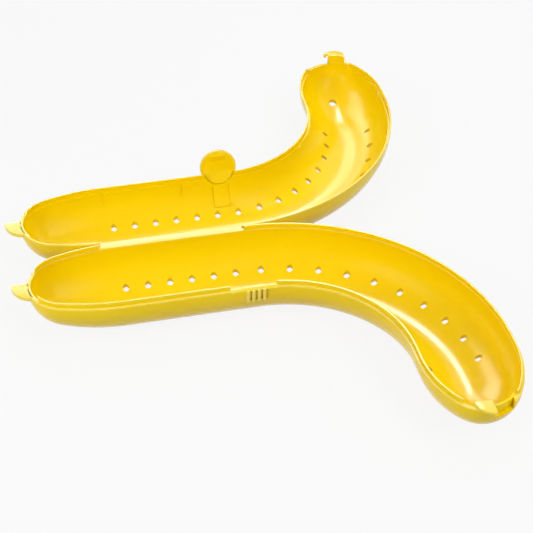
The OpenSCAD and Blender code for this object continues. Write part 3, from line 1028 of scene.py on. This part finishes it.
class CASE_OT_latch(bpy.types.Operator):
    """Round snap latch with its hook, foot and plug, leaning out from the lid"""

    bl_idname = "case.latch"
    bl_label = "Latch"

    def execute(self, context):
        s = context.scene.case_sizes
        p = Plan(s)
        clear = 0.85 * MM
        foot_drop = 1.2 * MM
        face_y = p.axis_y + s.tube_radius + clear
        bead_z = s.latch_rise - s.latch_radius - foot_drop
        bead_y = p.axis_y + math.sqrt(s.tube_radius**2 - (-bead_z - s.rim_height) ** 2)
        hook, recess = self.hook_and_recess(face_y)
        bm = combine(self.disc(s, face_y), recess)
        bm = combine(bm, self.foot(s, face_y, bead_y, bead_z), "UNION")
        bm = combine(bm, hook, "UNION")
        bm = combine(bm, self.plug(s, p, face_y), "UNION")
        bead = Vector((0, -bead_y, bead_z))
        lean = Matrix.Translation(bead + X * LATCH_X) @ Matrix.Rotation(s.latch_lean, 4, "X")
        bmesh.ops.transform(bm, matrix=lean @ Matrix.Translation(-bead), verts=bm.verts[:])
        material = yellow_plastic(context.scene)
        finish_piece(bm, "snap_latch", "latch", material, ["latch"], s, mirrored=True)
        return {"FINISHED"}

    def disc(self, s, face_y):
        """Round plate of the latch with a rounded edge."""
        rounding = 0.5 * MM
        border = 0.4 * MM
        centre = Vector((0, -face_y, s.latch_rise))
        bm = column(s.latch_radius, centre, centre - Y * s.latch_thickness, DISC_SIDES)
        round_edges(bm, square_edges(bm), rounding)
        caps = [f for f in bm.faces if len(f.verts) > 4]
        # the inset keeps the painted highlight of the rounded edge to a thin border on each face
        bmesh.ops.inset_individual(bm, faces=caps, thickness=border)
        return bm

    def hook_and_recess(self, face_y):
        """Wedge that snaps under the catch, and the cutter for the shallow recess below it."""
        low = 8.05 * MM
        half = 4 * MM
        proud = 0.8 * MM
        tall = 2.3 * MM
        crest_rise = 0.5 * MM
        depth = 0.5 * MM
        hook = block((-half, -face_y - depth, low), (half, -face_y + proud, low + tall))
        front = [v for v in hook.verts if v.co.y > -face_y]
        ramp = [v for v in front if v.co.z > low + tall / 2]
        crest = [v for v in front if v not in ramp]
        bmesh.ops.translate(hook, verts=ramp, vec=-Y * proud)
        bmesh.ops.translate(hook, verts=crest, vec=Z * crest_rise)
        half = 3.8 * MM
        tall = 2.6 * MM
        recess = block((-half, -face_y - depth, low - tall), (half, -face_y + PAST, low))
        slope = [v for v in recess.verts if v.co.y < -face_y and v.co.z > low - tall / 2]
        bmesh.ops.translate(recess, verts=slope, vec=Y * depth)
        return hook, recess

    def foot(self, s, face_y, bead_y, bead_z):
        """Foot below the disc with the bead that joins it to the wall of the lid."""
        half = 5 * MM
        radius = 0.6 * MM
        rise = 2.5 * MM
        low = (-half, -face_y - s.latch_thickness, bead_z - radius)
        bm = block(low, (half, -bead_y, bead_z + radius))
        bead = Vector((0, -bead_y, bead_z))
        bm = combine(bm, column(radius, bead - X * half, bead + X * half), "UNION")
        return combine(bm, block(low, (half, -face_y, bead_z + rise)), "UNION")

    def plug(self, s, p, face_y):
        """Sloping plug on the inner face of the disc, which fills the notch below the rim."""
        clear = 0.35 * MM
        root = 0.5 * MM
        reach = 5 * MM
        slope = math.radians(25)
        back = Vector((0, -face_y - root, s.latch_rise))
        bm = column(p.notch_radius - clear, back, back + Y * reach, DISC_SIDES)
        edge = (0, -face_y, -clear)
        for normal in (Vector((0, math.cos(slope), math.sin(slope))), Z):
            slice_at(bm, edge, normal, clear_outer=True)
            bmesh.ops.holes_fill(bm, edges=[e for e in bm.edges if e.is_boundary])
        return bm


class CASE_OT_stage(bpy.types.Operator):
    """Floor, even light, lamps for gloss and for fill, and the camera"""

    bl_idname = "case.stage"
    bl_label = "Stage"

    def execute(self, context):
        scene = context.scene
        look = scene.case_studio
        scene.view_settings.view_transform = "Standard"
        self.light_room(scene, look)
        self.lay_floor(scene, look)
        for name, (size, place) in SHINE_LAMPS.items():
            lamp = self.hang_lamp(scene, name, getattr(look, name), size, place)
            lamp.visible_diffuse = False
        for name, (size, place) in FILL_LAMPS.items():
            lamp = self.hang_lamp(scene, name, getattr(look, name), size, place)
            lamp.visible_glossy = False
        self.set_camera(scene, look)
        return {"FINISHED"}

    def light_room(self, scene, look):
        """Even light of a pale room: white at the horizon, dimmer overhead."""
        horizon = 0.12
        world = bpy.data.worlds.new("studio")
        world.use_nodes = True
        tree = world.node_tree
        back = tree.nodes["Background"]
        back.inputs["Color"].default_value = (1, 1, 1, 1)
        place = tree.nodes.new("ShaderNodeTexCoord")
        split = tree.nodes.new("ShaderNodeSeparateXYZ")
        tree.links.new(place.outputs["Generated"], split.inputs["Vector"])
        fade = node(
            tree, "ShaderNodeMapRange", From_Min=0.0, From_Max=horizon, To_Min=1.0, To_Max=look.sky
        )
        tree.links.new(split.outputs["Z"], fade.inputs["Value"])
        tree.links.new(fade.outputs["Result"], back.inputs["Strength"])
        scene.world = world

    def seen_ray(self, tree):
        """Mask of the rays that see a background: camera, mirror and clear ones."""
        path = tree.nodes.new("ShaderNodeLightPath")
        mask = path.outputs["Is Camera Ray"]
        for ray in ("Is Glossy Ray", "Is Transmission Ray"):
            either = node(tree, "ShaderNodeMath", operation="MAXIMUM")
            tree.links.new(mask, either.inputs[0])
            tree.links.new(path.outputs[ray], either.inputs[1])
            mask = either.outputs["Value"]
        return mask

    def lay_floor(self, scene, look):
        """Wide pale floor that keeps the shadow and is shown nearly white."""
        bm = bmesh.new()
        bmesh.ops.create_grid(bm, x_segments=1, y_segments=1, size=FLOOR_HALF)
        mesh = bpy.data.meshes.new("floor")
        bm.to_mesh(mesh)
        bm.free()
        floor = bpy.data.objects.new("floor", mesh)
        scene.collection.objects.link(floor)
        material = bpy.data.materials.new("studio_floor")
        material.use_nodes = True
        tree = material.node_tree
        shader = tree.nodes["Principled BSDF"]
        shader.inputs["Base Color"].default_value = look.floor
        shader.inputs["Roughness"].default_value = 0.9
        shader.inputs["Specular IOR Level"].default_value = 0.0
        white = node(tree, "ShaderNodeEmission", Strength=1.0)
        lift = node(tree, "ShaderNodeMath", operation="MULTIPLY")
        lift.inputs[1].default_value = look.lift
        tree.links.new(self.seen_ray(tree), lift.inputs[0])
        blend = tree.nodes.new("ShaderNodeMixShader")
        tree.links.new(lift.outputs["Value"], blend.inputs["Fac"])
        tree.links.new(shader.outputs["BSDF"], blend.inputs[1])
        tree.links.new(white.outputs["Emission"], blend.inputs[2])
        tree.links.new(blend.outputs["Shader"], tree.nodes["Material Output"].inputs["Surface"])
        mesh.materials.append(material)

    def hang_lamp(self, scene, name, watts, size, place):
        """Soft lamp, out of the camera's sight, turned to the middle of the case."""
        lamp = bpy.data.lights.new(name, "AREA")
        lamp.energy = watts
        lamp.shape = "RECTANGLE"
        lamp.size, lamp.size_y = size
        obj = bpy.data.objects.new(name, lamp)
        obj.location = place
        obj.rotation_euler = (-Vector(place)).to_track_quat("-Z", "Y").to_euler()
        obj.visible_camera = False
        scene.collection.objects.link(obj)
        return obj

    def set_camera(self, scene, look):
        """Camera at the photograph's viewing angle."""
        lens = bpy.data.cameras.new("camera")
        lens.sensor_width = SENSOR
        lens.lens = look.lens
        camera = bpy.data.objects.new("camera", lens)
        camera.location = look.eye
        aim = Vector(look.target) - Vector(look.eye)
        camera.rotation_euler = aim.to_track_quat("-Z", "Y").to_euler()
        scene.collection.objects.link(camera)
        scene.camera = camera


class CASE_PT_builder(bpy.types.Panel):
    """Lists the pieces of the case"""

    bl_idname = "CASE_PT_builder"
    bl_label = "Curved Carrying Case"
    bl_space_type = "VIEW_3D"
    bl_region_type = "UI"
    bl_category = "Case"

    def draw(self, context):
        for operator in BUILD_ORDER:
            self.layout.operator(operator.bl_idname)


BUILD_ORDER = (
    CASE_OT_base_trough,
    CASE_OT_lid_trough,
    CASE_OT_closing_lip,
    CASE_OT_catch,
    CASE_OT_finger_tabs,
    CASE_OT_head_tabs,
    CASE_OT_hinge_film,
    CASE_OT_latch,
    CASE_OT_stage,
)
SETTINGS = {"case_sizes": CaseSizes, "case_plastic": PlasticLook, "case_studio": StudioLook}


def register():
    """Adds the settings, the operators and the panel."""
    for cls in (*SETTINGS.values(), *BUILD_ORDER, CASE_PT_builder):
        bpy.utils.register_class(cls)
    for name, cls in SETTINGS.items():
        setattr(bpy.types.Scene, name, PointerProperty(type=cls))


def unregister():
    """Takes the settings, the operators and the panel away again."""
    for name in SETTINGS:
        delattr(bpy.types.Scene, name)
    for cls in (CASE_PT_builder, *BUILD_ORDER, *SETTINGS.values()):
        bpy.utils.unregister_class(cls)


def main():
    """Builds every piece and the stage."""
    register()
    for operator in BUILD_ORDER:
        group, name = operator.bl_idname.split(".")
        getattr(getattr(bpy.ops, group), name)()


if __name__ == "__main__":
    main()
